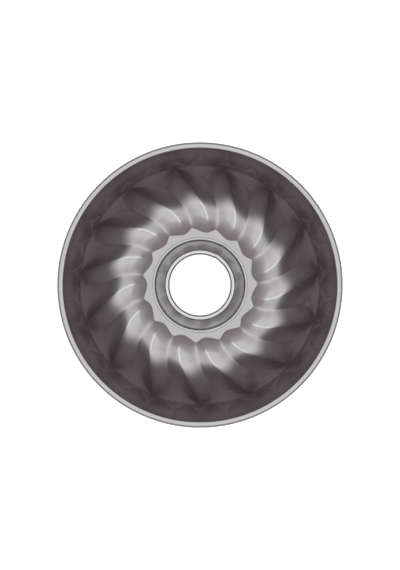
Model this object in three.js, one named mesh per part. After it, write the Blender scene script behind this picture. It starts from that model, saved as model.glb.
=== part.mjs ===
// A ring-cake pan with swirled flutes, modelled in millimetres.
//
// The pan stands mouth up on the feet of its flutes: +Z is up, z = 0 is the surface it stands on,
// and the Z axis runs through the centre tube. Three pieces of steel make it:
//   pan_shell    one pressed sheet, from the rolled rim down the faceted wall and over the swirled
//                flutes to the flat floor ring, which has a round hole for the tube
//   rim_wire     the round wire that the rim is rolled round
//   centre_tube  a rolled cone with a lip rolled into its bore, and below it a bead that sits on the
//                floor ring, a neck through the hole and a flare underneath, as an eyelet has
//
// The flutes turn clockwise on their way in, seen from above. Each one is a trough between two
// ridges, with a crease along its bottom, so a flute runs from a crease to a ridge to a crease.
import * as THREE from "three";
import { mergeVertices } from "three/addons/utils/BufferGeometryUtils.js";

// Overall sizes
const SHEET = 0.6; // thickness of the steel
const PAN_HEIGHT = 105;
const RIM_RADIUS = 125; // outermost, over the rolled rim
const RIM_CURL_RADIUS = 3.05;
const RIM_WIRE_RADIUS = 2;
const CURL_FACE_DEG = 45; // a curl has flat faces this far apart, one of them level on top
const CURL_FACES = 6; // from the sheet's edge, under the curl, to where it joins its wall
const SLIP = 0.35; // room between two pieces that lie against each other

// Flutes
const FLUTES = 15;
const PITCH_DEG = 360 / FLUTES;
const FIRST_FLUTE_DEG = 5.8; // the first crease's angle at the wall, from +X
const FOOT_Z = SHEET; // the troughs are pressed flat at this height, inside the sheet

// Each line of a flute, as [radius, height] control points of two Bezier curves: one comes down the
// wall, the other climbs to the floor ring, and between them the line runs level.
const FLOOR_Z = 5.6;
const CREASE = {
  fall: [[109.3, 48], [105.8, 25], [94.2, 0.4], [74.5, 0.4]],
  climb: [[67.5, 0.4], [64, 0.4], [56.5, 2.4], [50.5, FLOOR_Z]],
};
const RIDGE = {
  fall: [[101.9, 30.5], [94.6, 20], [85.2, 4], [72, 3.6]],
  climb: [[69, 3.6], [64, 3.4], [59.5, 3.9], [55, FLOOR_Z]],
};
// How far each line has turned, in degrees: the crease eases in and out of its sweep, the ridge
// starts off about half a pitch on and turns most near the wall.
const CREASE_SWEEP_DEG = 18.6;
const CREASE_SWEEP_END = 63; // the radius at which the crease has turned all the way
const CREASE_EASE = 0.4; // 0 turns evenly with the radius, 1 follows a half cosine
const RIDGE_START_DEG = 13;
const RIDGE_SWEEP_DEG = 14.8;
const RIDGE_POWER = 1.75;
// A flute's steep side bulges, up to its ridge, and its open side is hollow: 0 is a straight side,
// 1 a quarter of a cosine.
const STEEP_BULGE = 0.25;
const OPEN_HOLLOW = 0.7;

// Faceted band on the wall: shields between upright triangles
const HEAD_TOP = [109.7, 51]; // radius and height where the plain wall meets the flutes' heads
const BAND_BOTTOM_Z = 54;
const BAND_TOP_Z = 97;
const BAND_STEPS_DEG = [0, 4, 6, 8]; // a triangle's middle, its corner, a shield's middle, and on
const UPRIGHT_TIP = 0.48; // height of a triangle's tip, as a share of the band
const SHIELD_TOP = 0.7; // where a shield starts to lean back to the wall
const SPINE_HALF_DEG = 1.7; // half the width of a shield's flat spine at the top of the band
const BORDER_DEPTH = 0.35; // how far the shields' borders lie back into the wall
const BANK_DEG = 1.4; // width of the bank from a border up to the flat triangle
const SPINE_RISE = 0.6; // how far the spine stands into the pan

// Centre tube
const TUBE_TOP = 102;
const TUBE_HOLE_RADIUS = 26.6; // at the lip
const LIP_CURL_RADIUS = 2.2;
const TUBE_BASE_RADIUS = 42.5; // outside, where the cone meets its bead
const BEAD_RADIUS = 45.4; // outermost
const BEAD_HEIGHT = 3;
const BEAD_CORNER_RADIUS = 0.35; // of every bend of the bead, at the middle of the sheet
const GROOVE_WIDTH = 0.7; // between the cone and the bead
const NECK_RADIUS = 42.4; // outside, through the floor ring's hole
const FLARE_RADIUS = 45.8;

// Steps of the curves
const FALL_STEPS = 8;
const CLIMB_STEPS = 4;
const GROOVE_STEPS = 4;
const BEND_STEPS = 2;
const TUBE_SIDES = 45;

const { lerp, clamp, degToRad, smoothstep } = THREE.MathUtils;
const BAND_PERIOD_DEG = 2 * BAND_STEPS_DEG[2];
const COLUMNS = (360 / BAND_PERIOD_DEG) * BAND_STEPS_DEG.length;
const CURL_CENTRE = [RIM_RADIUS - RIM_CURL_RADIUS, PAN_HEIGHT - RIM_CURL_RADIUS];

// Points on an arc about (cx, cy), from one angle to another, in degrees.
function arc([cx, cy], radius, from, to, steps) {
  return Array.from({ length: steps + 1 }, (_, i) => {
    const angle = degToRad(lerp(from, to, i / steps));
    return new THREE.Vector2(cx + radius * Math.cos(angle), cy + radius * Math.sin(angle));
  });
}

// The corners of a curl's faces, from the sheet's edge to the corner where the curl meets its wall,
// which is inside a curl that rolls outwards (side 1) and outside one that rolls inwards (side -1).
function curl(centre, radius, side) {
  const cornerRadius = radius / Math.cos(degToRad(CURL_FACE_DEG / 2));
  const wallCorner = 90 + side * 1.5 * CURL_FACE_DEG;
  return arc(centre, cornerRadius, wallCorner - side * CURL_FACES * CURL_FACE_DEG, wallCorner, CURL_FACES);
}

// A Bezier curve of [radius, height] control points.
function bezier(points) {
  return new THREE.CubicBezierCurve(...points.map((p) => new THREE.Vector2(...p)));
}

// A point at a radius, a height and an angle measured clockwise from the first crease.
function around(radius, z, clockwiseDeg) {
  const angle = degToRad(FIRST_FLUTE_DEG - clockwiseDeg);
  return new THREE.Vector3(radius * Math.cos(angle), radius * Math.sin(angle), z);
}

// The plain wall's radius at a height, on the straight line from the flutes' heads to the rim.
function wallRadius(z) {
  const mouthRadius = RIM_RADIUS - 2 * RIM_CURL_RADIUS;
  return lerp(HEAD_TOP[0], mouthRadius, (z - HEAD_TOP[1]) / (CURL_CENTRE[1] - HEAD_TOP[1]));
}

// How far the band stands into the pan, at an angle from the nearest upright triangle's middle
// and a height as a share of the band.
function bandRelief(angle, height) {
  const borderDeg = BAND_STEPS_DEG[1] * (1 - Math.min(height / UPRIGHT_TIP, 1));
  const border = -BORDER_DEPTH * Math.min(height * 5, (1 - height) * 5, 1);
  if (angle < borderDeg) return lerp(border, 0, Math.min((borderDeg - angle) / BANK_DEG, 1));
  const spineDeg = BAND_STEPS_DEG[2] - SPINE_HALF_DEG * height;
  const spine = SPINE_RISE * Math.min(height / 0.6, (1 - height) / (1 - SHIELD_TOP), 1);
  return lerp(border, spine, clamp((angle - borderDeg) / (spineDeg - borderDeg), 0, 1));
}

// Column k's angle on the wall, clockwise from the first crease.
function columnDeg(k) {
  const steps = BAND_STEPS_DEG.length;
  return BAND_PERIOD_DEG * Math.floor(k / steps) + BAND_STEPS_DEG[k % steps];
}

// A ring of the wall at one height, with the band's relief where there is any.
function wallRing(z) {
  const height = (z - BAND_BOTTOM_Z) / (BAND_TOP_Z - BAND_BOTTOM_Z);
  return Array.from({ length: COLUMNS }, (_, k) => {
    const inPeriod = columnDeg(k) % BAND_PERIOD_DEG;
    const angle = Math.min(inPeriod, BAND_PERIOD_DEG - inPeriod);
    const relief = height < 0 ? 0 : bandRelief(angle, height);
    return around(wallRadius(z) - relief, z, columnDeg(k));
  });
}

// How far the crease has turned when it reaches a radius, in degrees.
function creaseTurn(radius) {
  const start = CREASE.fall[0][0];
  const done = Math.min((start - radius) / (start - CREASE_SWEEP_END), 1);
  return CREASE_SWEEP_DEG * lerp(done, (1 - Math.cos(Math.PI * done)) / 2, CREASE_EASE);
}

// How far the ridge has turned when it reaches a radius, in degrees.
function ridgeTurn(radius) {
  const [start, end] = [RIDGE.fall[0][0], RIDGE.climb[3][0]];
  const left = (radius - end) / (start - end);
  return RIDGE_START_DEG + RIDGE_SWEEP_DEG * (1 - Math.max(left, 0) ** RIDGE_POWER);
}

// A flute's section from crease (0) to ridge (1): a steep or an open side at the wall, and a round
// trough between sharp ridges where it reaches the floor ring.
function section(share, open, travel) {
  const trough = 1 - Math.cos((share * Math.PI) / 2);
  if (open) return lerp(lerp(share, trough, OPEN_HOLLOW), trough, travel ** 1.5);
  return lerp(lerp(share, Math.sin((share * Math.PI) / 2), STEEP_BULGE), trough, travel ** 4);
}

// A ring of the flutes: part is "fall" or "climb", t its curve parameter, and travel how far the
// ring is on the way from the wall (0) to the floor ring (1).
const CREASE_SIDE = [0, 0.12, 0.42, 0.72, 1]; // columns draw in to the crease, to give it a foot
function fluteRing(part, t, travel) {
  const crease = bezier(CREASE[part]).getPoint(t);
  const ridge = bezier(RIDGE[part]).getPoint(t);
  const creaseDeg = creaseTurn(crease.x);
  const ridgeDeg = ridgeTurn(ridge.x);
  const columnsPerFlute = COLUMNS / FLUTES;
  const half = columnsPerFlute / 2;
  return Array.from({ length: COLUMNS }, (_, k) => {
    const flute = Math.floor(k / columnsPerFlute);
    const column = k % columnsPerFlute;
    const leading = column > half; // on the side that leads to the next crease
    const fromCrease = columnDeg(column);
    const even = (leading ? PITCH_DEG - fromCrease : fromCrease) / (PITCH_DEG / 2);
    const drawn = CREASE_SIDE[leading ? columnsPerFlute - column : column];
    const share = lerp(even, drawn, smoothstep(travel, 0, 0.4));
    const near = leading ? creaseDeg + PITCH_DEG : creaseDeg;
    const point = crease.clone().lerp(ridge, section(share, leading, travel));
    const clockwiseDeg = flute * PITCH_DEG + lerp(near, ridgeDeg, share);
    return around(point.x, Math.max(point.y, FOOT_Z), clockwiseDeg);
  });
}

// A plain ring with half the columns.
function plainRing(radius, z) {
  return Array.from({ length: COLUMNS / 2 }, (_, i) => around(radius, z, columnDeg(2 * i)));
}

// The rings of the shell's inner face, from the sheet's edge under the rim to the tube's hole.
function shellRings() {
  const bandShares = [1, SHIELD_TOP, UPRIGHT_TIP, 0];
  const steps = FALL_STEPS + 1 + CLIMB_STEPS;
  const rings = curl(CURL_CENTRE, RIM_CURL_RADIUS, 1).map((point) => plainRing(point.x, point.y));
  bandShares.forEach((share) => rings.push(wallRing(lerp(BAND_BOTTOM_Z, BAND_TOP_Z, share))));
  rings.push(wallRing(HEAD_TOP[1]));
  for (let i = 0; i <= FALL_STEPS; i++) rings.push(fluteRing("fall", i / FALL_STEPS, i / steps));
  for (let i = 0; i <= CLIMB_STEPS; i++) {
    rings.push(fluteRing("climb", i / CLIMB_STEPS, (FALL_STEPS + 1 + i) / steps));
  }
  rings.push(plainRing(NECK_RADIUS + SLIP, FLOOR_Z));
  return rings;
}

// Triangles between ring a and the next ring b, each given by its first vertex and its length.
// Equal rings are joined by squares, cut so that the band's triangles keep their edges; rings of
// which one has twice the columns are joined three triangles at a time.
function joinRings(a, b) {
  const triangles = [];
  const at = (ring, i) => ring.start + (i % ring.count);
  const columns = Math.min(a.count, b.count);
  for (let i = 0; i < columns; i++) {
    if (a.count === b.count) {
      const [p, q] = [at(a, i), at(a, i + 1)];
      const [r, s] = [at(b, i), at(b, i + 1)];
      const leans = i % BAND_STEPS_DEG.length < BAND_STEPS_DEG.length / 2;
      triangles.push(...(leans ? [[p, r, s], [p, s, q]] : [[p, r, q], [q, r, s]]));
    } else if (a.count > b.count) {
      const [p, q, r] = [at(a, 2 * i), at(a, 2 * i + 1), at(a, 2 * i + 2)];
      triangles.push([p, at(b, i), q], [q, at(b, i), at(b, i + 1)], [q, at(b, i + 1), r]);
    } else {
      const [p, q, r] = [at(b, 2 * i), at(b, 2 * i + 1), at(b, 2 * i + 2)];
      triangles.push([at(a, i), p, q], [at(a, i), q, at(a, i + 1)], [at(a, i + 1), q, r]);
    }
  }
  return triangles;
}

// A surface through rings of points, closed from the last ring to the first if asked.
function ringSurface(rings, closed) {
  const spans = [];
  rings.forEach((ring, i) => {
    const start = i ? spans[i - 1].start + spans[i - 1].count : 0;
    spans.push({ start, count: ring.length });
  });
  const joins = closed ? spans.length : spans.length - 1;
  const index = [];
  for (let i = 0; i < joins; i++) index.push(...joinRings(spans[i], spans[(i + 1) % spans.length]).flat());
  const geometry = new THREE.BufferGeometry().setFromPoints(rings.flat());
  geometry.setIndex(index);
  geometry.computeVertexNormals();
  return geometry;
}

// The shell: its inner face, and the same rings one sheet thickness out for the outer face. The
// feet and the floor ring are moved straight down, so that they stay flat.
function shellGeometry() {
  const inner = shellRings();
  const normals = ringSurface(inner, false).getAttribute("normal");
  let vertex = 0;
  const outer = inner.map((ring) =>
    ring.map((point) => {
      const normal = new THREE.Vector3().fromBufferAttribute(normals, vertex++);
      if (point.z === FOOT_Z || point.z === FLOOR_Z) normal.set(0, 0, 1);
      return point.clone().addScaledVector(normal, -SHEET);
    }),
  );
  return ringSurface([...inner, ...outer.reverse()], true);
}

// The closed outline of a bent sheet that follows a path, half its thickness to either side.
function bentSheet(path) {
  const sides = [-1, 1].map((side) =>
    path.map((point, i) => {
      const before = path[Math.max(i - 1, 0)];
      const after = path[Math.min(i + 1, path.length - 1)];
      const along = after.clone().sub(before).normalize();
      return new THREE.Vector2(-along.y, along.x).multiplyScalar((side * SHEET) / 2).add(point);
    }),
  );
  return [...sides[0], ...sides[1].reverse()];
}

// A closed [radius, height] outline turned about Z.
function turned(outline, sides) {
  const geometry = new THREE.LatheGeometry([...outline, outline[0]], sides);
  geometry.deleteAttribute("normal");
  geometry.deleteAttribute("uv");
  return mergeVertices(geometry.rotateX(Math.PI / 2), 1e-4);
}

// The bead's bends, from the cone's foot: out through the groove, up and over the flat bead, and
// back in on the floor ring to the neck.
function beadBends() {
  const middle = SHEET / 2;
  const corner = BEAD_CORNER_RADIUS;
  const bottom = FLOOR_Z + SLIP + middle;
  const top = bottom + BEAD_HEIGHT - SHEET;
  const inside = TUBE_BASE_RADIUS + GROOVE_WIDTH + middle;
  const outside = BEAD_RADIUS - middle;
  const grooveRadius = GROOVE_WIDTH / 2 + middle;
  const grooveCentre = [TUBE_BASE_RADIUS - middle + grooveRadius, bottom + SHEET + SLIP / 2 + grooveRadius];
  return [
    ...arc(grooveCentre, grooveRadius, 180, 360, GROOVE_STEPS),
    ...arc([inside + corner, top - corner], corner, 180, 90, BEND_STEPS),
    ...arc([outside - corner, top - corner], corner, 90, 0, BEND_STEPS),
    ...arc([outside - corner, bottom + corner], corner, 0, -90, BEND_STEPS),
  ];
}

// The tube's sheet, from its edge inside the lip, over the lip, down the cone, round the bead, down
// the neck and out under the floor ring.
function tubeGeometry() {
  const middle = SHEET / 2;
  const lipCentre = [TUBE_HOLE_RADIUS + LIP_CURL_RADIUS, TUBE_TOP - LIP_CURL_RADIUS];
  const lip = curl(lipCentre, LIP_CURL_RADIUS - middle, -1);
  const bend = NECK_RADIUS - middle + SHEET;
  const neckTop = arc([bend, FLOOR_Z + SLIP + middle - SHEET], SHEET, 90, 180, BEND_STEPS);
  const flareZ = FLOOR_Z - SHEET - SLIP - middle;
  const neckFoot = arc([bend, flareZ + SHEET], SHEET, 180, 270, BEND_STEPS);
  const flareEnd = new THREE.Vector2(FLARE_RADIUS, flareZ);
  return turned(bentSheet([...lip, ...beadBends(), ...neckTop, ...neckFoot, flareEnd]), TUBE_SIDES);
}

// The wire, a plain ring.
function wireGeometry() {
  const sides = 360 / CURL_FACE_DEG;
  return turned(arc(CURL_CENTRE, RIM_WIRE_RADIUS, 0, 360 - CURL_FACE_DEG, sides - 1), COLUMNS / 2);
}

// One named piece of the pan.
function piece(name, geometry, color, roughness, metalness) {
  const mesh = new THREE.Mesh(geometry, new THREE.MeshStandardMaterial({ color, roughness, metalness }));
  mesh.name = name;
  return mesh;
}

const pan = new THREE.Group();
const shell = piece("pan_shell", shellGeometry(), 0x6b6465, 0.38, 0.9);
const tube = piece("centre_tube", tubeGeometry(), 0x8f8a86, 0.34, 0.9);
const wire = piece("rim_wire", wireGeometry(), 0xa8a8aa, 0.3, 1);
wire.rotation.z = degToRad(FIRST_FLUTE_DEG); // its flats then face the rim's
pan.add(shell, tube, wire);

export default pan;
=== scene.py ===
"""A ring-cake pan with swirled flutes, standing mouth up on a pale floor.

The pan is three pieces of steel: the pressed shell, the tube that stands in its middle, and the
wire that the rim is rolled round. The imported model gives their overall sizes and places. The finer
sizes are fields of the classes below, in millimetres until a mesh is made. Angles on the pan are
measured clockwise, seen from above, because the flutes turn that way as they run inwards.
"""

from __future__ import annotations

import logging
import math
from dataclasses import dataclass, field
from enum import Enum
from typing import Sequence, Union

import bpy
import numpy as np
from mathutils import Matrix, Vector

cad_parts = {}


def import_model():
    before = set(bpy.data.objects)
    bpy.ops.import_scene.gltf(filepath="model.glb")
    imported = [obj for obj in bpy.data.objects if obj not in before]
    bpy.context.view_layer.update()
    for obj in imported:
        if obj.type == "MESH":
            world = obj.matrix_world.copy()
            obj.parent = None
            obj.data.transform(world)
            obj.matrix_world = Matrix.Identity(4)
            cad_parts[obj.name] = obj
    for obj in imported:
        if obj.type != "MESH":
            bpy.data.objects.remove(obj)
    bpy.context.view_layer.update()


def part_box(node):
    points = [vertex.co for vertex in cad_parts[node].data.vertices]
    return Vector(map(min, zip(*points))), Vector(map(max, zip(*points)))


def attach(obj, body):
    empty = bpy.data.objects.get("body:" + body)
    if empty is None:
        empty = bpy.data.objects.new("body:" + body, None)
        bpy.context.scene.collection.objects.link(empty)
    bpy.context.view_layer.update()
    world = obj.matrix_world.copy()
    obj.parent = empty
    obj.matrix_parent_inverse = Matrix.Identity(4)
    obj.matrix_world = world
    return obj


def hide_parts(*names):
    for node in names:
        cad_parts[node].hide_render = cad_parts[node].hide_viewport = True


MM = 0.001
BODY = "root"
SHEET = 0.6
FLOOR_RING = 5.6
FIRST_FLUTE_DEG = 5.8
SEAM_DEG = 62.0

log = logging.getLogger("pan")

Colour = tuple[float, float, float]
Span = tuple[float, float]
SocketInput = Union["Value", bpy.types.NodeSocket, float, int, tuple]


# ---- Shader and geometry node helpers ----


@dataclass(frozen=True)
class Value:
    """A number that a shader works out, so that maths on it can be written as an expression."""

    tree: "NodeTree"
    socket: bpy.types.NodeSocket

    def _math(self, operation: str, *inputs: SocketInput) -> "Value":
        """Adds one Math node.

        Args:
            operation: the Math node's operation.
            *inputs: its input values, in order.

        Returns:
            The node's result.
        """
        sockets = dict(enumerate(inputs))
        return Value(self.tree, self.tree.node("ShaderNodeMath", {"operation": operation}, sockets))

    def __add__(self, other: SocketInput) -> "Value":
        """self + other."""
        return self._math("ADD", self, other)

    def __radd__(self, other: SocketInput) -> "Value":
        """other + self."""
        return self._math("ADD", other, self)

    def __sub__(self, other: SocketInput) -> "Value":
        """self - other."""
        return self._math("SUBTRACT", self, other)

    def __rsub__(self, other: SocketInput) -> "Value":
        """other - self."""
        return self._math("SUBTRACT", other, self)

    def __mul__(self, other: SocketInput) -> "Value":
        """self * other."""
        return self._math("MULTIPLY", self, other)

    def __rmul__(self, other: SocketInput) -> "Value":
        """other * self."""
        return self._math("MULTIPLY", other, self)

    def __truediv__(self, other: SocketInput) -> "Value":
        """self / other."""
        return self._math("DIVIDE", self, other)

    def __abs__(self) -> "Value":
        """The distance from zero."""
        return self._math("ABSOLUTE", self)

    def arctan2(self, other: SocketInput) -> "Value":
        """The angle of the point (other, self), in radians."""
        return self._math("ARCTAN2", self, other)

    def arccos(self) -> "Value":
        """The angle whose cosine this is, in radians."""
        return self._math("ARCCOSINE", self)

    def root(self) -> "Value":
        """The square root."""
        return self._math("SQRT", self)

    def at_least(self, low: float) -> "Value":
        """The value, or low where it is less."""
        return self._math("MAXIMUM", self, low)

    def to_nearest(self, step: float) -> "Value":
        """The distance to the nearest multiple of a step.

        Args:
            step: the step.

        Returns:
            The distance, from 0 to half a step.
        """
        return self._math("PINGPONG", self, step / 2)

    def between(self, low: float, high: float) -> "Value":
        """A smooth rise from 0 at low to 1 at high.

        Args:
            low: the value that gives 0.
            high: the value that gives 1; it may be the smaller of the two.

        Returns:
            The eased share.
        """
        settings = {"interpolation_type": "SMOOTHSTEP"}
        sockets: dict = {"Value": self, "From Min": low, "From Max": high}
        return Value(self.tree, self.tree.node("ShaderNodeMapRange", settings, sockets))


class NodeTree:
    """Any node tree, with one way to add a node to it."""

    def __init__(self, tree: bpy.types.NodeTree) -> None:
        """Takes the tree over.

        Args:
            tree: Blender's own tree.
        """
        self.tree = tree

    def feed(self, socket: bpy.types.NodeSocket, value: SocketInput) -> None:
        """Links or sets one input.

        Args:
            socket: the input.
            value: another node's output, or a constant.
        """
        source = value.socket if isinstance(value, Value) else value
        if isinstance(source, bpy.types.NodeSocket):
            self.tree.links.new(source, socket)
        else:
            socket.default_value = source

    def node(
        self, kind: str, settings: dict, sockets: dict, output: Union[int, str] = 0
    ) -> bpy.types.NodeSocket:
        """Adds any node.

        Args:
            kind: the node's type name.
            settings: properties that are set before the sockets.
            sockets: what each input, by name or number, is linked or set to.
            output: which output to return.

        Returns:
            The output's socket.
        """
        made = self.tree.nodes.new(kind)
        for key, value in settings.items():
            setattr(made, key, value)
        for key, value in sockets.items():
            self.feed(made.inputs[key], value)
        return made.outputs[output]

    def split(self, vector: bpy.types.NodeSocket) -> list[Value]:
        """The X, Y and Z of a vector."""
        made = self.node("ShaderNodeSeparateXYZ", {}, {0: vector}).node
        return [Value(self, part) for part in made.outputs]


class ShaderTree(NodeTree):
    """The nodes of one material, with its shader ready to be fed."""

    def __init__(self, name: str) -> None:
        """Makes the material.

        Args:
            name: the material's name.
        """
        self.material = bpy.data.materials.new(name)
        self.material.use_nodes = True
        super().__init__(self.material.node_tree)
        self.inputs = self.tree.nodes["Principled BSDF"].inputs

    def point(self) -> bpy.types.NodeSocket:
        """The point on the piece, in its own metres."""
        return self.node("ShaderNodeTexCoord", {}, {}, "Object")

    def radius(self) -> Value:
        """The distance from the Z axis, in metres."""
        x, y, _ = self.split(self.point())
        return (x * x + y * y).root()

    def height(self) -> Value:
        """The distance along the Z axis, in metres."""
        return self.split(self.point())[2]

    def turn(self) -> Value:
        """The angle about the Z axis, in radians anticlockwise from +X."""
        x, y, _ = self.split(self.point())
        return y.arctan2(x)

    def clockwise(self) -> Value:
        """Degrees clockwise from the first crease."""
        return FIRST_FLUTE_DEG - self.turn() * math.degrees(1.0)

    def noise(self, scale: float, detail: float = 2.0, stretch: Colour = (1.0, 1.0, 1.0)) -> Value:
        """Smooth random clouds, from 0 to 1.

        Args:
            scale: clouds to a metre.
            detail: layers of finer clouds.
            stretch: a further scale along each axis.

        Returns:
            The clouds.
        """
        place = self.node("ShaderNodeMapping", {}, {"Vector": self.point(), "Scale": stretch})
        return self.noise_at(place, scale, detail)

    def noise_at(self, place: bpy.types.NodeSocket, scale: float, detail: float) -> Value:
        """Smooth random noise of a place."""
        sockets: dict = {"Vector": place, "Scale": scale, "Detail": detail}
        return Value(self, self.node("ShaderNodeTexNoise", {}, sockets, "Fac"))

    def lines_round(self, scale: float, squeeze: float) -> Value:
        """Fine lines that run round the Z axis, from 0 to 1.

        Args:
            scale: lines to a metre across them.
            squeeze: metres that a radian of their length counts as, so the smaller the longer.

        Returns:
            The lines.
        """
        turned = self.turn() * squeeze
        sockets: dict = {"X": self.radius(), "Y": self.height(), "Z": turned}
        return self.noise_at(self.node("ShaderNodeCombineXYZ", {}, sockets), scale, 2.0)

    def blend(
        self, share: SocketInput, first: SocketInput, second: SocketInput
    ) -> bpy.types.NodeSocket:
        """Mixes two colours.

        Args:
            share: how much of the second there is.
            first: a colour.
            second: another.

        Returns:
            The mixed colour.
        """
        colours = [(*c, 1.0) if isinstance(c, tuple) else c for c in (first, second)]
        sockets = {0: share, 6: colours[0], 7: colours[1]}
        return self.node("ShaderNodeMix", {"data_type": "RGBA"}, sockets, 2)

    def bump(self, height: Value, depth_mm: float) -> None:
        """Roughens the shader's surface.

        Args:
            height: the relief, from 0 to 1.
            depth_mm: how deep it is.
        """
        sockets: dict = {"Height": height, "Strength": 1.0, "Distance": depth_mm * MM}
        self.feed(self.inputs["Normal"], self.node("ShaderNodeBump", {}, sockets))

    def dress(self, sockets: dict[str, SocketInput]) -> bpy.types.Material:
        """Feeds the shader's inputs.

        Args:
            sockets: what each input is linked or set to.

        Returns:
            The material.
        """
        for name, value in sockets.items():
            self.feed(self.inputs[name], value)
        return self.material


class GeometryTree(NodeTree):
    """A geometry node tree with named inputs, which ends in Realize Instances and Set Material."""

    def __init__(self, name: str, sizes: dict[str, float]) -> None:
        """Makes the tree and its inputs.

        Args:
            name: the tree's name.
            sizes: the inputs' names and values; a whole number makes a whole-number input.
        """
        super().__init__(bpy.data.node_groups.new(name, "GeometryNodeTree"))
        self.sizes = sizes
        interface = self.tree.interface
        interface.new_socket("Geometry", in_out="INPUT", socket_type="NodeSocketGeometry")
        for key, value in sizes.items():
            kind = "NodeSocketInt" if isinstance(value, int) else "NodeSocketFloat"
            interface.new_socket(key, in_out="INPUT", socket_type=kind)
        interface.new_socket("Finish", in_out="INPUT", socket_type="NodeSocketMaterial")
        interface.new_socket("Geometry", in_out="OUTPUT", socket_type="NodeSocketGeometry")
        self.given = self.tree.nodes.new("NodeGroupInput")

    def close(self, geometry: bpy.types.NodeSocket, merge: float = 0.0) -> None:
        """Ends the tree.

        Args:
            geometry: what it has made.
            merge: how close two points are to be joined into one, in metres.
        """
        whole = self.node("GeometryNodeRealizeInstances", {}, {"Geometry": geometry})
        if merge:
            near: dict = {"Geometry": whole, "Distance": merge}
            whole = self.node("GeometryNodeMergeByDistance", {}, near)
        shaded = self.node("GeometryNodeSetShadeSmooth", {}, {"Geometry": whole})
        sockets = {"Geometry": shaded, "Material": self.given.outputs["Finish"]}
        coated = self.node("GeometryNodeSetMaterial", {}, sockets)
        end = self.tree.nodes.new("NodeGroupOutput")
        self.feed(end.inputs[0], coated)

    def made_from(
        self, name: str, start: bpy.types.Mesh, finish: bpy.types.Material
    ) -> bpy.types.Mesh:
        """Runs the tree once.

        Args:
            name: the name of the mesh that it makes.
            start: the mesh that it is given.
            finish: the material that it lays on.

        Returns:
            The result as a plain mesh.
        """
        carrier = bpy.data.objects.new(name + "_carrier", start)
        bpy.context.scene.collection.objects.link(carrier)
        modifier = carrier.modifiers.new("nodes", "NODES")
        modifier.node_group = self.tree
        values = {**self.sizes, "Finish": finish}
        for item in self.tree.interface.items_tree:
            if item.in_out == "INPUT" and item.name in values:
                modifier[item.identifier] = values[item.name]
        carrier.update_tag()
        mesh = plain_mesh(carrier, name)
        bpy.data.objects.remove(carrier)
        return mesh


def plain_mesh(thing: bpy.types.Object, name: str) -> bpy.types.Mesh:
    """Turns an object and its modifiers into one mesh.

    Args:
        thing: the object.
        name: the new mesh's name.

    Returns:
        The mesh.
    """
    graph = bpy.context.evaluated_depsgraph_get()
    graph.update()
    mesh = bpy.data.meshes.new_from_object(thing.evaluated_get(graph))
    mesh.name = name
    return mesh


def smooth(mesh: bpy.types.Mesh) -> bpy.types.Mesh:
    """Shades every face of a mesh smooth."""
    mesh.polygons.foreach_set("use_smooth", [True] * len(mesh.polygons))
    return mesh


def grid_mesh(name: str, rows: np.ndarray, ring: bool, tube: bool) -> bpy.types.Mesh:
    """Joins a grid of points by four-sided faces.

    Args:
        name: the mesh's name.
        rows: the points, as rows by columns by 3, in millimetres.
        ring: whether the last column joins the first.
        tube: whether the last row joins the first.

    Returns:
        The mesh, in metres.
    """
    tall, wide = rows.shape[:2]
    down = np.arange(tall if tube else tall - 1)[:, None]
    along = np.arange(wide if ring else wide - 1)[None, :]
    below, beside = (down + 1) % tall, (along + 1) % wide
    here, under = down * wide, below * wide
    corners = (here + along, under + along, under + beside, here + beside)
    faces = np.stack(corners, axis=-1).reshape(-1, 4)
    mesh = bpy.data.meshes.new(name)
    mesh.from_pydata((rows.reshape(-1, 3) * MM).tolist(), [], faces.tolist())
    return smooth(mesh)


def fold(mesh: bpy.types.Mesh, wide: int, rows: Sequence[int], seam: tuple[int, int]) -> None:
    """Makes some edges of a grid sharp.

    Args:
        mesh: the grid.
        wide: how many columns it has.
        rows: the rows along which it is folded.
        seam: the first and last row between which its two outer columns are folded too.
    """
    ends = np.empty(len(mesh.edges) * 2, dtype=int)
    mesh.edges.foreach_get("vertices", ends)
    row, column = np.divmod(ends.reshape(-1, 2), wide)
    across = (row[:, 0] == row[:, 1]) & np.isin(row[:, 0], rows)
    outer = (column[:, 0] == column[:, 1]) & np.isin(column[:, 0], (0, wide - 1))
    within = (row.min(axis=1) >= seam[0]) & (row.max(axis=1) <= seam[1])
    mesh.edges.foreach_set("use_edge_sharp", (across | (outer & within)).tolist())


def thicken(name: str, sheet: bpy.types.Mesh, thickness: float) -> bpy.types.Mesh:
    """Gives a sheet its thickness, on the side away from its faces.

    Args:
        name: the solid's name.
        sheet: the face that is seen.
        thickness: in millimetres.

    Returns:
        The closed solid.
    """
    carrier = bpy.data.objects.new(name + "_sheet", sheet)
    bpy.context.scene.collection.objects.link(carrier)
    modifier = carrier.modifiers.new("thickness", "SOLIDIFY")
    modifier.thickness = thickness * MM
    modifier.offset = -1.0
    mesh = plain_mesh(carrier, name)
    bpy.data.objects.remove(carrier)
    return mesh


def placed(
    name: str, mesh: bpy.types.Mesh, finish: bpy.types.Material, node: str
) -> bpy.types.Object:
    """Puts a finished piece in the scene for the CAD node that it stands for.

    Args:
        name: the piece's name.
        mesh: its mesh, in place.
        finish: its material.
        node: the CAD node.

    Returns:
        The piece.
    """
    piece = bpy.data.objects.new(name, mesh)
    bpy.context.scene.collection.objects.link(piece)
    mesh.materials.clear()
    mesh.materials.append(finish)
    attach(piece, BODY)
    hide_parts(node)
    return piece


# ---- Shape helpers ----


def lerp(a: np.ndarray | float, b: np.ndarray | float, t: np.ndarray | float) -> np.ndarray:
    """The value a share t of the way from a to b."""
    return np.asarray(a + (b - a) * t)


def eased(t: np.ndarray | float) -> np.ndarray:
    """A smooth step from 0 to 1, flat at both ends."""
    share = np.clip(t, 0.0, 1.0)
    return share * share * (3.0 - 2.0 * share)


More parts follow.
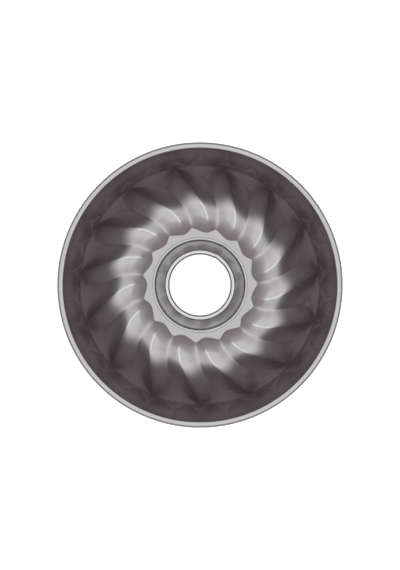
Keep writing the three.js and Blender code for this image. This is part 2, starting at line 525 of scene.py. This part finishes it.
def softened(t: np.ndarray, radius: float) -> np.ndarray:
    """A share from 0 to 1 whose start is rounded off, so that a fold at 0 isn't knife sharp.

    Args:
        t: the share.
        radius: how far from 0 the rounding reaches, as a share.

    Returns:
        The softened share.
    """
    whole = math.hypot(1.0, radius) - radius
    return (np.hypot(t, radius) - radius) / whole


def arc(
    centre: tuple[float, float], radius: float, start: float, end: float, steps: int
) -> np.ndarray:
    """Points on an arc of the section.

    Args:
        centre: its radius and height on the pan.
        radius: the arc's own radius.
        start: its first angle in degrees, from straight outwards, upwards positive.
        end: its last angle.
        steps: how many chords it has.

    Returns:
        The points, as rows of radius and height.
    """
    angles = np.radians(np.linspace(start, end, steps + 1))
    return np.array(centre) + radius * np.stack([np.cos(angles), np.sin(angles)], axis=-1)


def around(radius: np.ndarray, clockwise: np.ndarray, height: np.ndarray) -> np.ndarray:
    """Points from cylinder coordinates.

    Args:
        radius: distances from the pan's axis.
        clockwise: degrees clockwise from the first crease.
        height: heights.

    Returns:
        The points, with X, Y and Z along the last axis.
    """
    angle = np.radians(FIRST_FLUTE_DEG - clockwise)
    parts = np.broadcast_arrays(radius * np.cos(angle), radius * np.sin(angle), height)
    return np.stack(parts, axis=-1)


@dataclass(frozen=True)
class Bezier:
    """A cubic curve in the pan's section, from four points of radius and height."""

    points: tuple[Span, ...]

    def at(self, t: float) -> np.ndarray:
        """The point a share of the way along.

        Args:
            t: the share, from 0 to 1.

        Returns:
            The point's radius and height.
        """
        p = np.array(self.points)
        u = 1.0 - t
        return u**3 * p[0] + 3 * u * u * t * p[1] + 3 * u * t * t * p[2] + t**3 * p[3]


class Stage(Enum):
    """The two stretches of a flute, with a level one between them."""

    FALL = "down the wall"
    CLIMB = "up to the floor ring"


# ---- Finishes ----


@dataclass(frozen=True)
class CoatedSteel:
    """The pressed shell's satin metallic release coating, with painted highlights on its edges.

    A pair of numbers is where a mask starts to rise and where it is full. Radii and outside, which
    is how far a face may lie beyond the plain wall, are in millimetres.
    """

    colour: Colour = (0.306, 0.268, 0.277)
    worn: Colour = (0.395, 0.347, 0.357)
    grazing: Colour = (0.55, 0.46, 0.475)
    painted_highlight: Colour = (0.52, 0.495, 0.5)
    cloud_scale: float = 24.0
    flake_scale: float = 2600.0
    line_scale: float = 650.0
    line_squeeze: float = 0.004
    cloud_share: float = 0.3
    flake_share: float = 0.2
    line_share: float = 0.5
    crease_deg: Span = (0.5, 0.5 / 3)
    painted_highlight_from: Span = (91.0, 72.0)
    painted_highlight_to: Span = (60.0, 64.0)
    facet_deg: Span = (0.55, 0.15)
    facet_foot: Span = (0.0, 0.06)
    facet_top: Span = (1.0, 0.9)
    outside: Span = (0.56, 0.42)
    facet_painted_highlights: float = 0.35
    metallic: float = 0.92
    roughness: float = 0.32
    cloud_roughness: float = 0.05
    line_roughness: float = 0.06
    relief_mm: float = 0.004
    relief_lines: float = 0.7
    relief_flakes: float = 0.3

    def painted_crease_highlight(self, tree: ShaderTree, flutes: Flutes) -> Value:
        """A painted highlight along the lower part of each crease: a brighter colour that stands for
        a glint.

        Args:
            tree: the material's nodes.
            flutes: the flutes, which say where the creases run.

        Returns:
            The highlight, from 0 to 1.
        """
        radius = tree.radius() / MM
        start, end = flutes.crease[Stage.FALL].points[0][0], flutes.crease_sweep_end
        even = (start - radius) / (start - end)
        ease = flutes.crease_ease
        turned = (even * (1 - ease) + radius.between(start, end) * ease) * flutes.crease_sweep
        line = (tree.clockwise() - turned).to_nearest(flutes.pitch).between(*self.crease_deg)
        return line * radius.between(*self.painted_highlight_from) * radius.between(*self.painted_highlight_to)

    def painted_facet_highlight(self, tree: ShaderTree, shell: PanShell) -> Value:
        """A painted highlight, inside, on the edges of the band's upright triangles.

        A line goes on from each triangle's tip to the top of the band.

        Args:
            tree: the material's nodes.
            shell: the shell, which says where its wall and its band are.

        Returns:
            The highlight, from 0 to 1.
        """
        band = shell.band
        share = (tree.height() / MM - band.bottom) / (band.top - band.bottom)
        edge_deg = ((1 - share / band.upright_tip) * band.corner_deg).at_least(0.0)
        away = abs(tree.clockwise().to_nearest(band.period_deg) - edge_deg)
        foot, top = shell.wall_radius(band.bottom), shell.wall_radius(band.top)
        inside = (tree.radius() / MM - share * (top - foot) - foot).between(*self.outside)
        ends = share.between(*self.facet_foot) * share.between(*self.facet_top)
        return away.between(*self.facet_deg) * ends * inside

    def build(self, shell: PanShell) -> bpy.types.Material:
        """Makes the material: fine lines round the pan, flakes, soft clouds and painted highlights.

        Args:
            shell: the shell that it lies on.

        Returns:
            The material.
        """
        tree = ShaderTree("coated_steel")
        clouds = tree.noise(self.cloud_scale, 3.0)
        flakes = tree.noise(self.flake_scale, 1.0)
        lines = tree.lines_round(self.line_scale, self.line_squeeze)
        speckle = clouds * self.cloud_share + flakes * self.flake_share + lines * self.line_share
        colour = tree.blend(speckle, self.colour, self.worn)
        # Painted highlight lines on the edges of the band's upright triangles.
        facets = self.painted_facet_highlight(tree, shell) * self.facet_painted_highlights
        # Painted highlights: a brighter colour along the creases and on the band's triangle edges.
        painted_highlights = self.painted_crease_highlight(tree, shell.flutes) + facets
        uneven = clouds * self.cloud_roughness + lines * self.line_roughness
        lowest = self.roughness - (self.cloud_roughness + self.line_roughness) / 2
        tree.bump(lines * self.relief_lines + flakes * self.relief_flakes, self.relief_mm)
        sockets = {"Roughness": uneven + lowest, "Metallic": self.metallic}
        # The painted highlights are blended in as a brighter base colour.
        sockets["Base Color"] = tree.blend(painted_highlights, colour, self.painted_highlight)
        sockets["Specular Tint"] = (*self.grazing, 1.0)
        return tree.dress(sockets)


@dataclass(frozen=True)
class TubeSteel:
    """The tube's thinner, brighter finish, browned by heat beside the weld.

    Heights and radii are in metres, turns in radians. A pair of numbers is where a mask starts to
    rise and where it is full.
    """

    colour: Colour = (0.49, 0.453, 0.44)
    browned: Colour = (0.30, 0.225, 0.19)
    shade_and_seam_dark: Colour = (0.05, 0.045, 0.045)
    lip: Colour = (0.415, 0.382, 0.38)
    bead: Colour = (0.355, 0.33, 0.337)
    lip_height: Span = (0.0975, 0.0985)
    groove_radius: float = 0.0427
    groove_half: float = 0.00035
    tint_middle: float = -0.03
    tint: Span = (0.16, 0.02)
    tint_share: float = 0.5
    cloud_scale: float = 42.0
    cloud_stretch: Colour = (1.0, 1.0, 0.15)
    cloud_edge: Span = (0.46, 0.66)
    cloud_rise: Span = (0.04, 0.095)
    cloud_low: float = 0.25
    cloud_gain: float = 0.4
    scratch_scale: float = 420.0
    scratch_stretch: Colour = (1.0, 1.0, 0.06)
    weld: Span = (0.035, 0.015)
    upper_weld: Span = (0.088, 0.094)
    upper_weld_end: Span = (0.0975, 0.0965)
    lower_weld: Span = (0.02, 0.012)
    groove_painted_shade: float = 0.8
    weld_darkening: float = 0.7
    roughness: float = 0.26
    scratch_roughness: float = 0.05
    cloud_roughness: float = 0.06
    relief_mm: float = 0.002

    def build(self) -> bpy.types.Material:
        """Makes the material: brown clouds, seam tint, coated bead, scratches, painted groove shade.

        Returns:
            The material.
        """
        tree = ShaderTree("tube_steel")
        height, radius = tree.height(), tree.radius()
        angle = tree.turn() - math.radians(SEAM_DEG)
        beside_seam = abs(angle - self.tint_middle).between(*self.tint)
        clouds = tree.noise(self.cloud_scale, 1.0, self.cloud_stretch).between(*self.cloud_edge)
        patches = clouds * (height.between(*self.cloud_rise) * self.cloud_gain + self.cloud_low)
        scratches = tree.noise(self.scratch_scale, 2.0, self.scratch_stretch)
        brown = beside_seam * self.tint_share + patches
        bare = tree.blend(brown, self.colour, self.browned)
        lipped = tree.blend(height.between(*self.lip_height), bare, self.lip)
        # Painted shade: the groove at the tube's foot is coloured near black, standing for the shade
        # in it.
        groove = abs(radius - self.groove_radius).between(self.groove_half, self.groove_half / 2)
        upper = height.between(*self.upper_weld) * height.between(*self.upper_weld_end)
        # The weld is darker near the lip and near the foot.
        weld = abs(angle).between(*self.weld) * (upper + height.between(*self.lower_weld))
        # The dark colour: painted shade in the groove, and darker marks at the weld's ends.
        shade_and_darkening = groove * self.groove_painted_shade + weld * self.weld_darkening
        dark = tree.blend(shade_and_darkening, lipped, self.shade_and_seam_dark)
        coated = radius.between(self.groove_radius, self.groove_radius + self.groove_half)
        whole = tree.blend(coated, dark, self.bead)
        uneven = scratches * self.scratch_roughness + clouds * self.cloud_roughness
        rough = uneven + (self.roughness - self.scratch_roughness)
        tree.bump(scratches, self.relief_mm)
        return tree.dress({"Base Color": whole, "Roughness": rough, "Metallic": 1.0})


@dataclass(frozen=True)
class WireSteel:
    """Bright drawn wire."""

    colour: Colour = (0.62, 0.62, 0.63)
    marked: Colour = (0.5, 0.5, 0.51)
    mark_scale: float = 1500.0
    roughness: float = 0.25
    mark_roughness: float = 0.15
    relief_mm: float = 0.005

    def build(self) -> bpy.types.Material:
        """Makes the material: fine draw marks on bare steel.

        Returns:
            The material.
        """
        tree = ShaderTree("wire_steel")
        marks = tree.noise(self.mark_scale, 2.0)
        steel = tree.blend(marks, self.colour, self.marked)
        rough = marks * self.mark_roughness + self.roughness
        tree.bump(marks, self.relief_mm)
        return tree.dress({"Base Color": steel, "Roughness": rough, "Metallic": 1.0})


@dataclass(frozen=True)
class PaleBoard:
    """The pale board that the pan stands on."""

    colour: Colour = (0.92, 0.92, 0.92)
    grained: Colour = (0.88, 0.88, 0.88)
    lit: Colour = (1.0, 1.0, 1.0)
    unlit: Colour = (0.1, 0.1, 0.1)
    grain_scale: float = 60.0
    grain_share: float = 0.1
    glow: float = 0.85
    lit_radius: float = 0.32
    unlit_radius: float = 0.48

    def build(self) -> bpy.types.Material:
        """Makes the material: a matt white glowing as on a light table, fully near the pan, dimly
        far off.

        Returns:
            The material.
        """
        tree = ShaderTree("pale_board")
        grain = tree.noise(self.grain_scale, 3.0)
        grained = tree.blend(grain * self.grain_share, self.colour, self.grained)
        # A painted pool of light: the floor's glow is full near the pan and fades to dark grey
        # further out.
        near = tree.radius().between(self.unlit_radius, self.lit_radius)
        sockets = {"Base Color": grained, "Roughness": 1.0, "Specular IOR Level": 0.0}
        sockets["Emission Color"] = tree.blend(near, self.unlit, self.lit)
        sockets["Emission Strength"] = self.glow
        return tree.dress(sockets)


# ---- Pieces ----


@dataclass(frozen=True)
class FacetBand:
    """The band of pressed facets on the wall: shields between upright triangles."""

    bottom: float = 54.0
    top: float = 97.0
    period_deg: float = 12.0
    corner_deg: float = 4.0
    upright_tip: float = 0.48
    spine_half_deg: float = 1.7
    foot_bevel: float = 0.6
    top_bevel: float = 0.3
    groove: float = 0.35
    groove_ends: float = 0.2
    rise: float = 0.6
    bank_deg: float = 1.4
    blur_deg: float = 0.25
    blur_share: float = 0.012
    blur_steps: tuple[float, ...] = (-1.5, -0.75, 0.0, 0.75, 1.5)

    def between_ends(self, share: np.ndarray, foot: float, top: float) -> np.ndarray:
        """A rise from 0 at the band's foot to 1, and a fall to 0 at its top.

        Args:
            share: heights as a share of the band.
            foot: the share over which it rises.
            top: the share over which it falls.

        Returns:
            The rise, from 0 to 1.
        """
        return np.clip(np.minimum(share / foot, (1 - share) / top), 0, 1)

    def sharp(self, clockwise: np.ndarray, share: np.ndarray) -> np.ndarray:
        """How far the facets stand into the pan before their edges are rounded.

        Args:
            clockwise: degrees clockwise from the first crease.
            share: heights as a share of the band.

        Returns:
            The relief in millimetres, negative where it lies back.
        """
        middle = self.period_deg / 2
        into = np.mod(clockwise, self.period_deg)
        angle = np.minimum(into, self.period_deg - into)
        upright = np.clip(share / self.upright_tip, 0, 1)
        edge_deg = self.corner_deg * (1 - upright)
        groove = -self.groove * self.between_ends(share, self.groove_ends, self.groove_ends)
        spine_deg = middle - self.spine_half_deg * share
        spine = self.rise * self.between_ends(share, self.foot_bevel, self.top_bevel)
        bank = np.clip((edge_deg - angle) / self.bank_deg, 0, 1)
        shield = np.clip((angle - edge_deg) / (spine_deg - edge_deg), 0, 1)
        return np.where(angle < edge_deg, lerp(groove, 0.0, bank), lerp(groove, spine, shield))

    def relief(self, clockwise: np.ndarray, height: float) -> np.ndarray:
        """How far the facets stand into the pan at one height, with rounded edges.

        Args:
            clockwise: degrees clockwise from the first crease.
            height: in millimetres.

        Returns:
            The relief in millimetres.
        """
        share = (height - self.bottom) / (self.top - self.bottom)
        steps = np.array(self.blur_steps)
        weights = np.exp(-0.5 * steps**2)
        total = np.zeros_like(clockwise)
        for step, weight in zip(steps, weights):
            for side, other in zip(steps, weights):
                near = np.full_like(clockwise, share + step * self.blur_share)
                facets = self.sharp(clockwise + side * self.blur_deg, near)
                total += weight * other * ((near > 0) & (near < 1)) * facets
        return total / weights.sum() ** 2


@dataclass(frozen=True)
class Flutes:
    """The swirled flutes: where their creases and ridges run, and the surface between them."""

    count: int = 15
    crease: dict[Stage, Bezier] = field(
        default_factory=lambda: {
            Stage.FALL: Bezier(((109.3, 48.0), (105.8, 25.0), (94.2, 0.4), (74.5, 0.4))),
            Stage.CLIMB: Bezier(((67.5, 0.4), (64.0, 0.4), (56.5, 2.4), (50.5, FLOOR_RING))),
        }
    )
    ridge: dict[Stage, Bezier] = field(
        default_factory=lambda: {
            Stage.FALL: Bezier(((101.9, 30.5), (94.6, 20.0), (85.2, 4.0), (72.0, 3.6))),
            Stage.CLIMB: Bezier(((69.0, 3.6), (64.0, 3.4), (59.5, 3.9), (55.0, FLOOR_RING))),
        }
    )
    crease_sweep: float = 18.6
    crease_sweep_end: float = 63.0
    crease_ease: float = 0.4
    ridge_start: float = 13.0
    ridge_sweep: float = 14.8
    ridge_power: float = 1.75
    steep_side: float = 0.25
    open_side: float = 0.7
    steep_power: float = 4.0
    open_power: float = 1.5
    crease_round: float = 0.05
    crease_least: float = 1e-6
    round_from: float = 0.4
    ridge_round: float = 0.08

    @property
    def pitch(self) -> float:
        """Degrees from one crease to the next."""
        return 360.0 / self.count

    def crease_turn(self, radius: float) -> float:
        """How far the crease has turned when it reaches a radius.

        Args:
            radius: in millimetres.

        Returns:
            Degrees clockwise from the crease's outer end.
        """
        start = self.crease[Stage.FALL].points[0][0]
        done = min((start - radius) / (start - self.crease_sweep_end), 1.0)
        slowed = (1 - math.cos(math.pi * done)) / 2
        return self.crease_sweep * float(lerp(done, slowed, self.crease_ease))

    def ridge_turn(self, radius: float) -> float:
        """How far the ridge has turned when it reaches a radius.

        Args:
            radius: in millimetres.

        Returns:
            Degrees clockwise from the outer end of the crease before it.
        """
        start = self.ridge[Stage.FALL].points[0][0]
        end = self.ridge[Stage.CLIMB].points[3][0]
        left = max((radius - end) / (start - end), 0.0)
        return self.ridge_start + self.ridge_sweep * (1 - left**self.ridge_power)

    def section(self, share: np.ndarray, opened: np.ndarray, travel: float) -> np.ndarray:
        """The height of a flute's side, from its crease (0) to its ridge (1).

        Args:
            share: how far across the side a point is.
            opened: whether it is on the open side, beyond the ridge.
            travel: how far down the flute it is, from the wall (0) to the floor ring (1).

        Returns:
            The height as a share: creased with a full ridge at the wall, and a round trough with
            a sharp ridge at the floor ring.
        """
        troughed = 1 - np.cos((1 - softened(1 - share, self.ridge_round)) * math.pi / 2)
        rounding = self.crease_round * float(eased(travel / self.round_from))
        share = softened(share, rounding + self.crease_least)
        full = lerp(share, np.sin(share * math.pi / 2), self.steep_side)
        hollow = lerp(share, 1 - np.cos(share * math.pi / 2), self.open_side)
        steep = lerp(full, troughed, travel**self.steep_power)
        return np.where(opened, lerp(hollow, troughed, travel**self.open_power), steep)

    def row(self, columns: np.ndarray, stage: Stage, t: float, travel: float) -> np.ndarray:
        """One row of points across a flute, from its crease over its ridge to the next crease.

        Args:
            columns: where each column is, from 0 at the crease through 1 at the ridge to 2.
            stage: which stretch of the flute.
            t: the curves' parameter.
            travel: how far down the flute the row is.

        Returns:
            The points, in millimetres.
        """
        crease, ridge = self.crease[stage].at(t), self.ridge[stage].at(t)
        crease_deg, ridge_deg = self.crease_turn(crease[0]), self.ridge_turn(ridge[0])
        share = 1 - np.abs(columns - 1)
        start = np.where(columns > 1, crease_deg + self.pitch, crease_deg)
        height = self.section(share, columns > 1, travel)
        radius = lerp(crease[0], ridge[0], height)
        z = np.maximum(lerp(crease[1], ridge[1], height), SHEET)
        return around(radius, lerp(start, ridge_deg, share), z)


@dataclass
class PanShell:
    """The pressed sheet, from the rolled rim to the hole in the floor ring."""

    rim_radius: float
    height: float
    curl: float = 3.05
    inner_squareness: float = 0.6
    outer_squareness: float = 0.95
    head_radius: float = 109.7
    head_height: float = 51.0
    hole: float = 42.8
    curl_deg: Span = (-125.0, 171.0)
    curl_rows: int = 18
    margin_height: float = 100.5
    band_heights: Span = (98.2, 52.8)
    band_rows: int = 32
    head_shares: tuple[float, ...] = (0.25, 0.5, 0.75)
    fall_rows: int = 26
    climb_rows: int = 14
    creased_rows: int = 12
    floor_shares: tuple[float, ...] = (0.15, 0.6, 0.96, 1.0)
    drawn: float = 0.7
    drawn_from: float = 0.4
    merge: float = 0.01
    half_columns: int = 16
    band: FacetBand = field(default_factory=FacetBand)
    flutes: Flutes = field(default_factory=Flutes)

    def columns(self, drawn: float = 0.0) -> np.ndarray:
        """Where the columns of one flute are, from 0 at its crease to 2 at the next crease.

        Args:
            drawn: how far they are drawn in to the creases and the ridge, from 0 to 1.

        Returns:
            The columns' places.
        """
        even = np.linspace(0.0, 2.0, 2 * self.half_columns + 1)
        return even - drawn * np.sin(even * 2 * math.pi) / (2 * math.pi)

    def clockwise(self) -> np.ndarray:
        """Degrees clockwise from the first crease, for evenly spaced columns."""
        return self.columns() * self.flutes.pitch / 2

    def wall_radius(self, height: float) -> float:
        """The inner radius of the wall, as if it had no facets.

        Args:
            height: in millimetres.

        Returns:
            The radius in millimetres.
        """
        mouth = self.rim_radius - 2 * self.curl
        share = (height - self.head_height) / (self.height - self.curl - self.head_height)
        return float(lerp(self.head_radius, mouth, share))

    def rim_rows(self) -> list[np.ndarray]:
        """The rows over the rolled rim.

        Returns:
            The rows, from the sheet's edge to the mouth.
        """
        clockwise = self.clockwise()
        angles = np.radians(np.linspace(*self.curl_deg, self.curl_rows))
        square = np.stack([np.cos(angles), np.sin(angles)], axis=-1)
        power = np.where(square[:, :1] < 0, self.inner_squareness, self.outer_squareness)
        square = np.sign(square) * np.abs(square) ** power * self.curl
        centre = np.array([self.rim_radius - self.curl, self.height - self.curl])
        level = np.ones_like(clockwise)
        return [around(level * r, clockwise, level * z) for r, z in centre + square]

    def wall_rows(self) -> list[np.ndarray]:
        """The rows down the wall, through the facet band.

        Returns:
            The rows, from the margin to the flutes' heads.
        """
        clockwise = self.clockwise()
        band = np.linspace(*self.band_heights, self.band_rows)
        heights = [self.margin_height, *band, self.head_height]
        rows = []
        for height in heights:
            radius = self.wall_radius(height) - self.band.relief(clockwise, float(height))
            rows.append(around(radius, clockwise, np.full_like(clockwise, height)))
        return rows

    def flute_rows(self) -> list[np.ndarray]:
        """The rows over the flutes' heads, down the flutes and up to the floor ring.

        Returns:
            The rows, the last of them scalloped.
        """
        clockwise = self.clockwise()
        level = np.full_like(clockwise, self.head_height)
        top = around(np.full_like(clockwise, self.head_radius), clockwise, level)
        first = self.flutes.row(self.columns(), Stage.FALL, 0.0, 0.0)
        rows = [lerp(top, first, t) for t in self.head_shares]
        stations = [(Stage.FALL, t) for t in np.linspace(0, 1, self.fall_rows)]
        stations += [(Stage.CLIMB, t) for t in np.linspace(0, 1, self.climb_rows)]
        for i, (stage, t) in enumerate(stations):
            travel = i / (len(stations) - 1)
            drawn = self.columns(self.drawn * float(eased(travel / self.drawn_from)))
            rows.append(self.flutes.row(drawn, stage, float(t), travel))
        return rows

    def floor_rows(self, edge: np.ndarray) -> list[np.ndarray]:
        """The rows of the flat floor ring.

        Args:
            edge: the scalloped row where the flutes end.

        Returns:
            The rows from there to the tube's hole.
        """
        inner = edge * [1, 1, 0]
        inner *= self.hole / np.linalg.norm(inner, axis=1, keepdims=True)
        inner[:, 2] = FLOOR_RING
        return [lerp(edge, inner, t) for t in self.floor_shares]

    def build(self, finish: bpy.types.Material) -> bpy.types.Object:
        """Repeats one flute's stretch of sheet round the pan and gives it its thickness.

        Args:
            finish: the coating.

        Returns:
            The shell.
        """
        rows = [*self.rim_rows(), *self.wall_rows()]
        head = len(rows) + len(self.head_shares)
        rows += self.flute_rows()
        edge = len(rows) - 1
        rows += self.floor_rows(rows[-1])
        stretch = grid_mesh("flute_stretch", np.array(rows), ring=False, tube=False)
        fold(stretch, len(self.columns()), (head, edge), (head, head + self.creased_rows))
        sizes = {"Flutes": self.flutes.count, "Turn": math.radians(self.flutes.pitch)}
        tree = GeometryTree("flutes_round_the_pan", sizes)
        places = tree.node("GeometryNodePoints", {}, {"Count": tree.given.outputs["Flutes"]})
        index = Value(tree, tree.node("GeometryNodeInputIndex", {}, {}))
        turned = tree.node("ShaderNodeCombineXYZ", {}, {"Z": index * tree.given.outputs["Turn"]})
        flute = tree.given.outputs["Geometry"]
        sockets = {"Points": places, "Instance": flute, "Rotation": turned}
        tree.close(tree.node("GeometryNodeInstanceOnPoints", {}, sockets), self.merge * MM)
        sheet = tree.made_from("pan_sheet", stretch, finish)
        solid = smooth(thicken("pan_shell_sheet", sheet, SHEET))
        log.info("shell: %d faces", len(solid.polygons))
        return placed("pan_shell_sheet", solid, finish, "pan_shell")


@dataclass
class CentreTube:
    """The cone in the middle: rolled lip, lapped seam, flattened bead, neck and flare."""

    flare: float
    top: float = 102.0
    hole: float = 26.6
    lip: float = 2.2
    lip_squareness: float = 0.65
    lip_deg: Span = (305.0, 7.8)
    lip_steps: int = 20
    base: float = 42.5
    bead: float = 45.4
    bead_height: float = 2.6
    bead_corner: float = 0.2
    corner_steps: int = 3
    groove: float = 0.5
    groove_deg: Span = (188.0, 360.0)
    groove_steps: int = 7
    heel_bend: float = 0.5
    neck: float = 42.4
    neck_bend: float = 0.6
    bend_steps: int = 4
    flare_start: float = 1.4
    gap: float = 0.35
    lap: float = 0.8
    lap_deg: float = 14.0
    lap_end_deg: float = 359.8
    cone_rows: int = 16
    columns: int = 192

    def path(self) -> np.ndarray:
        """The middle of the sheet.

        Returns:
            Radii and heights, from the edge inside the lip to the edge of the flare.
        """
        middle = SHEET / 2
        lip_centre = (self.hole + self.lip, self.top - self.lip)
        roll = arc((0.0, 0.0), 1.0, *self.lip_deg, self.lip_steps)
        power = np.where(roll[:, :1] > 0, self.lip_squareness, 1.0)
        lip = lip_centre + np.sign(roll) * np.abs(roll) ** power * (self.lip - middle)
        under = FLOOR_RING + self.gap + middle
        layers = SHEET + self.gap / 2
        turn = self.groove / 2 + middle
        inner_leg = self.base + self.groove + middle
        corner = self.bead_corner
        crown = FLOOR_RING + self.gap + self.bead_height - middle - corner
        foot_centre = (self.base - middle + turn, under + layers + turn)
        foot = arc(foot_centre, turn, *self.groove_deg, self.groove_steps)
        over = [*arc((inner_leg + corner, crown), corner, 180.0, 90.0, self.corner_steps)]
        outer_corner = (self.bead - middle - corner, crown)
        over += [*arc(outer_corner, corner, 90.0, 0.0, self.corner_steps)]
        steps = self.bend_steps
        heel_bend, neck_bend, neck = self.heel_bend, self.neck_bend, self.neck - middle
        heel_centre = (self.bead - middle - heel_bend, under + heel_bend)
        heel = arc(heel_centre, heel_bend, 0.0, -90.0, steps)
        neck_top = arc((neck + heel_bend, under - heel_bend), heel_bend, 90.0, 180.0, steps)
        flare_level = FLOOR_RING - SHEET - self.gap - middle
        neck_centre = (neck + neck_bend, flare_level + neck_bend)
        neck_foot = arc(neck_centre, neck_bend, 180.0, 270.0, steps)
        cone = [lerp(lip[-1], foot[0], t) for t in np.linspace(0, 1, self.cone_rows)[1:-1]]
        flare_radii = np.linspace(self.neck + self.flare_start, self.flare, 3)
        flare = [(radius, flare_level) for radius in flare_radii]
        return np.array([*lip, *cone, *foot, *over, *heel, *neck_top, *neck_foot, *flare])

    def outline(self) -> np.ndarray:
        """The closed section of the bent sheet.

        Returns:
            Radii and heights, down the cone's outer face and back up its inner face.
        """
        path = self.path()
        along = np.gradient(path, axis=0)
        along /= np.linalg.norm(along, axis=1, keepdims=True)
        across = np.stack([-along[:, 1], along[:, 0]], axis=-1) * SHEET / 2
        return np.concatenate([path + across, (path - across)[::-1]])

    def build(self, finish: bpy.types.Material) -> bpy.types.Object:
        """Rolls the section into a cone whose end laps over its start.

        Args:
            finish: the tube's finish.

        Returns:
            The tube.
        """
        degrees = np.linspace(0.0, 360.0, self.columns, endpoint=False)
        after_step = np.append(degrees, self.lap_end_deg)
        lap = SHEET * self.lap * (1 - eased(after_step / self.lap_deg))
        angle = np.radians(SEAM_DEG - after_step)
        outline = self.outline()
        radius = outline[:, 0][:, None] + lap[None, :]
        height = np.broadcast_to(outline[:, 1][:, None], radius.shape)
        rows = np.stack([radius * np.cos(angle), radius * np.sin(angle), height], axis=-1)
        mesh = grid_mesh("centre_tube_cone", rows[::-1], ring=True, tube=True)
        log.info("tube: %d faces", len(mesh.polygons))
        return placed("centre_tube_cone", mesh, finish, "centre_tube")


@dataclass
class RimWire:
    """The wire inside the rolled rim."""

    height: float
    ring_radius: float = 121.95
    wire_radius: float = 2.0
    ring_steps: int = 240
    wire_steps: int = 16

    def build(self, finish: bpy.types.Material) -> bpy.types.Object:
        """Sweeps a small circle round a large one.

        Args:
            finish: the wire's finish.

        Returns:
            The wire.
        """
        sizes = {"Ring": self.ring_radius, "Wire": self.wire_radius, "Height": self.height}
        metres = {key: size * MM for key, size in sizes.items()}
        tree = GeometryTree("wire_round_the_rim", metres)
        circle = {"Resolution": self.ring_steps, "Radius": tree.given.outputs["Ring"]}
        section = {"Resolution": self.wire_steps, "Radius": tree.given.outputs["Wire"]}
        rail = tree.node("GeometryNodeCurvePrimitiveCircle", {"mode": "RADIUS"}, circle)
        profile = tree.node("GeometryNodeCurvePrimitiveCircle", {"mode": "RADIUS"}, section)
        swept = tree.node("GeometryNodeCurveToMesh", {}, {"Curve": rail, "Profile Curve": profile})
        lift = tree.node("ShaderNodeCombineXYZ", {}, {"Z": tree.given.outputs["Height"]})
        tree.close(tree.node("GeometryNodeTransform", {}, {"Geometry": swept, "Translation": lift}))
        mesh = smooth(tree.made_from("rim_wire_ring", bpy.data.meshes.new("nothing"), finish))
        log.info("wire: %d faces", len(mesh.polygons))
        return placed("rim_wire_ring", mesh, finish, "rim_wire")


# ---- Studio ----


@dataclass
class Studio:
    """The floor, the light and the camera."""

    mouth_height: float
    camera_height: float = 1.0
    frame_height: float = 0.4968
    sensor_width: float = 36.0
    floor_size: float = 60.0
    floor_gap: float = 0.0002
    overhead: float = 2.2
    tint: Colour = (0.905, 1.0, 1.0)
    sky: tuple[Span, ...] = (
        (0.0, 0.72),
        (0.07, 0.77),
        (0.15, 0.93),
        (0.22, 1.0),
        (0.32, 0.9),
        (0.42, 0.7),
        (0.54, 0.43),
        (0.66, 0.22),
        (0.78, 0.13),
        (1.0, 0.09),
    )

    def floor(self, finish: bpy.types.Material) -> bpy.types.Object:
        """Lays a very wide floor at the height that the pan stands on.

        Args:
            finish: its material.

        Returns:
            The floor.
        """
        half = self.floor_size / 2
        corners = np.array([[[x, y, 0.0] for y in (-half, half)] for x in (-half, half)])
        mesh = grid_mesh("floor", corners / MM, ring=False, tube=False)
        mesh.materials.append(finish)
        board = bpy.data.objects.new("floor", mesh)
        board.location.z = -self.floor_gap
        bpy.context.scene.collection.objects.link(board)
        return board

    def light(self) -> None:
        """Makes a soft sky, bright overhead and dimmer towards the horizon."""
        world = bpy.data.worlds.new("studio")
        world.use_nodes = True
        tree = NodeTree(world.node_tree)
        direction = tree.node("ShaderNodeTexCoord", {}, {}, "Generated")
        from_overhead = tree.split(direction)[2].arccos() * (2 / math.pi)
        level = tree.node("ShaderNodeFloatCurve", {}, {"Value": from_overhead})
        mapping = level.node.mapping
        points = mapping.curves[0].points
        points[0].location, points[1].location = self.sky[0], self.sky[-1]
        for stop in self.sky[1:-1]:
            points.new(*stop)
        mapping.update()
        background = tree.tree.nodes["Background"].inputs
        tree.feed(background["Strength"], Value(tree, level) * self.overhead)
        background["Color"].default_value = (*self.tint, 1.0)
        bpy.context.scene.world = world
        bpy.context.scene.view_settings.view_transform = "Standard"

    def camera(self) -> None:
        """Hangs the camera over the pan's middle, looking straight down with +Y up."""
        data = bpy.data.cameras.new("camera")
        data.sensor_width = self.sensor_width
        data.lens = data.sensor_width * self.camera_height / self.frame_height
        eye = bpy.data.objects.new("camera", data)
        eye.location = (0.0, 0.0, self.mouth_height + self.camera_height)
        bpy.context.scene.collection.objects.link(eye)
        bpy.context.scene.camera = eye


def main() -> None:
    """Builds the pan's pieces in order, then the studio round it."""
    logging.basicConfig(level=logging.INFO, format="%(name)s: %(message)s")
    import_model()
    _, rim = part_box("pan_shell")
    _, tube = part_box("centre_tube")
    wire_low, wire_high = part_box("rim_wire")
    studio = Studio(mouth_height=rim.z)
    studio.camera()
    shell = PanShell(rim_radius=rim.x / MM, height=rim.z / MM)
    centre_tube = CentreTube(flare=tube.y / MM)
    rim_wire = RimWire(height=(wire_low.z + wire_high.z) / 2 / MM)
    log.info("made %s", shell.build(CoatedSteel().build(shell)).name)
    log.info("made %s", centre_tube.build(TubeSteel().build()).name)
    log.info("made %s", rim_wire.build(WireSteel().build()).name)
    studio.floor(PaleBoard().build())
    studio.light()


if __name__ == "__main__":
    main()
